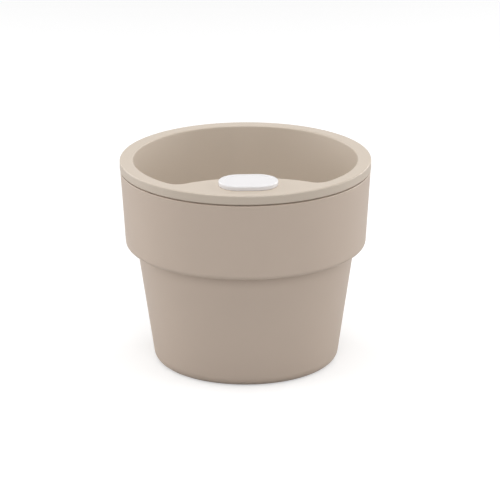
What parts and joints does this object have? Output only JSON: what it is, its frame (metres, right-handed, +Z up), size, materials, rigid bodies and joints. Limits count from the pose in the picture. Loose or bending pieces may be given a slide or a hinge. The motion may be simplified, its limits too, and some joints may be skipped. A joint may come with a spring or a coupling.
{
  "type": "self-watering planter",
  "caption": "Round two-part planter with a stepped collar, a liner hung from a broad rim, a front shelf with an oval float-gauge cap, wicks and a water reservoir below.",
  "frame": {"origin": "centre of the face it rests on", "axes": "+Z up, the shelf with the gauge's cap at the front, -Y, +X to the right as seen from the front"},
  "size_m": [0.16, 0.16, 0.1368],
  "materials": {
    "pot_shell": "moulded polypropylene, satin-matte",
    "liner_shell": "moulded polypropylene, satin-matte",
    "sleeve_plastic": "moulded polypropylene, satin-matte",
    "cap_plastic": "moulded polypropylene, fine satin",
    "stem_plastic": "moulded polypropylene, satin",
    "float_foam": "moulded closed-cell foam",
    "plug_rubber": "soft thermoplastic rubber, matte",
    "wick_fibre": "bonded polyester fibre",
    "grommet_plastic": "moulded polypropylene"
  },
  "bodies": {
    "outer_pot": {"outer_pot": "pot_shell"},
    "drain_plug": {"drain_plug": "plug_rubber", "plug_seal": "plug_rubber"},
    "inner_pot": {"inner_pot": "liner_shell", "wick_rear": "wick_fibre", "wick_left": "wick_fibre", "wick_right": "wick_fibre", "wick_grommet_rear": "grommet_plastic", "wick_grommet_left": "grommet_plastic", "wick_grommet_right": "grommet_plastic"},
    "gauge_sleeve": {"gauge_sleeve": "sleeve_plastic"},
    "level_gauge": {"gauge_cap": "cap_plastic", "gauge_stem": "stem_plastic", "gauge_float": "float_foam", "float_clip": "stem_plastic"}
  },
  "joints": [
    {"name": "liner_lift", "type": "slide", "parent": "outer_pot", "child": "inner_pot", "axis": [0, 0, 1], "range_m": [0, 0.14]},
    {"name": "sleeve_lift", "type": "slide", "parent": "inner_pot", "child": "gauge_sleeve", "axis": [0, 0, 1], "range_m": [0, 0.135]},
    {"name": "float_rise", "type": "slide", "parent": "gauge_sleeve", "child": "level_gauge", "axis": [0, 0, 1], "range_m": [0, 0.018]},
    {"name": "plug_pull", "type": "slide", "parent": "outer_pot", "child": "drain_plug", "axis": [0, 0, 1], "range_m": [0, 0.02]}
  ]
}
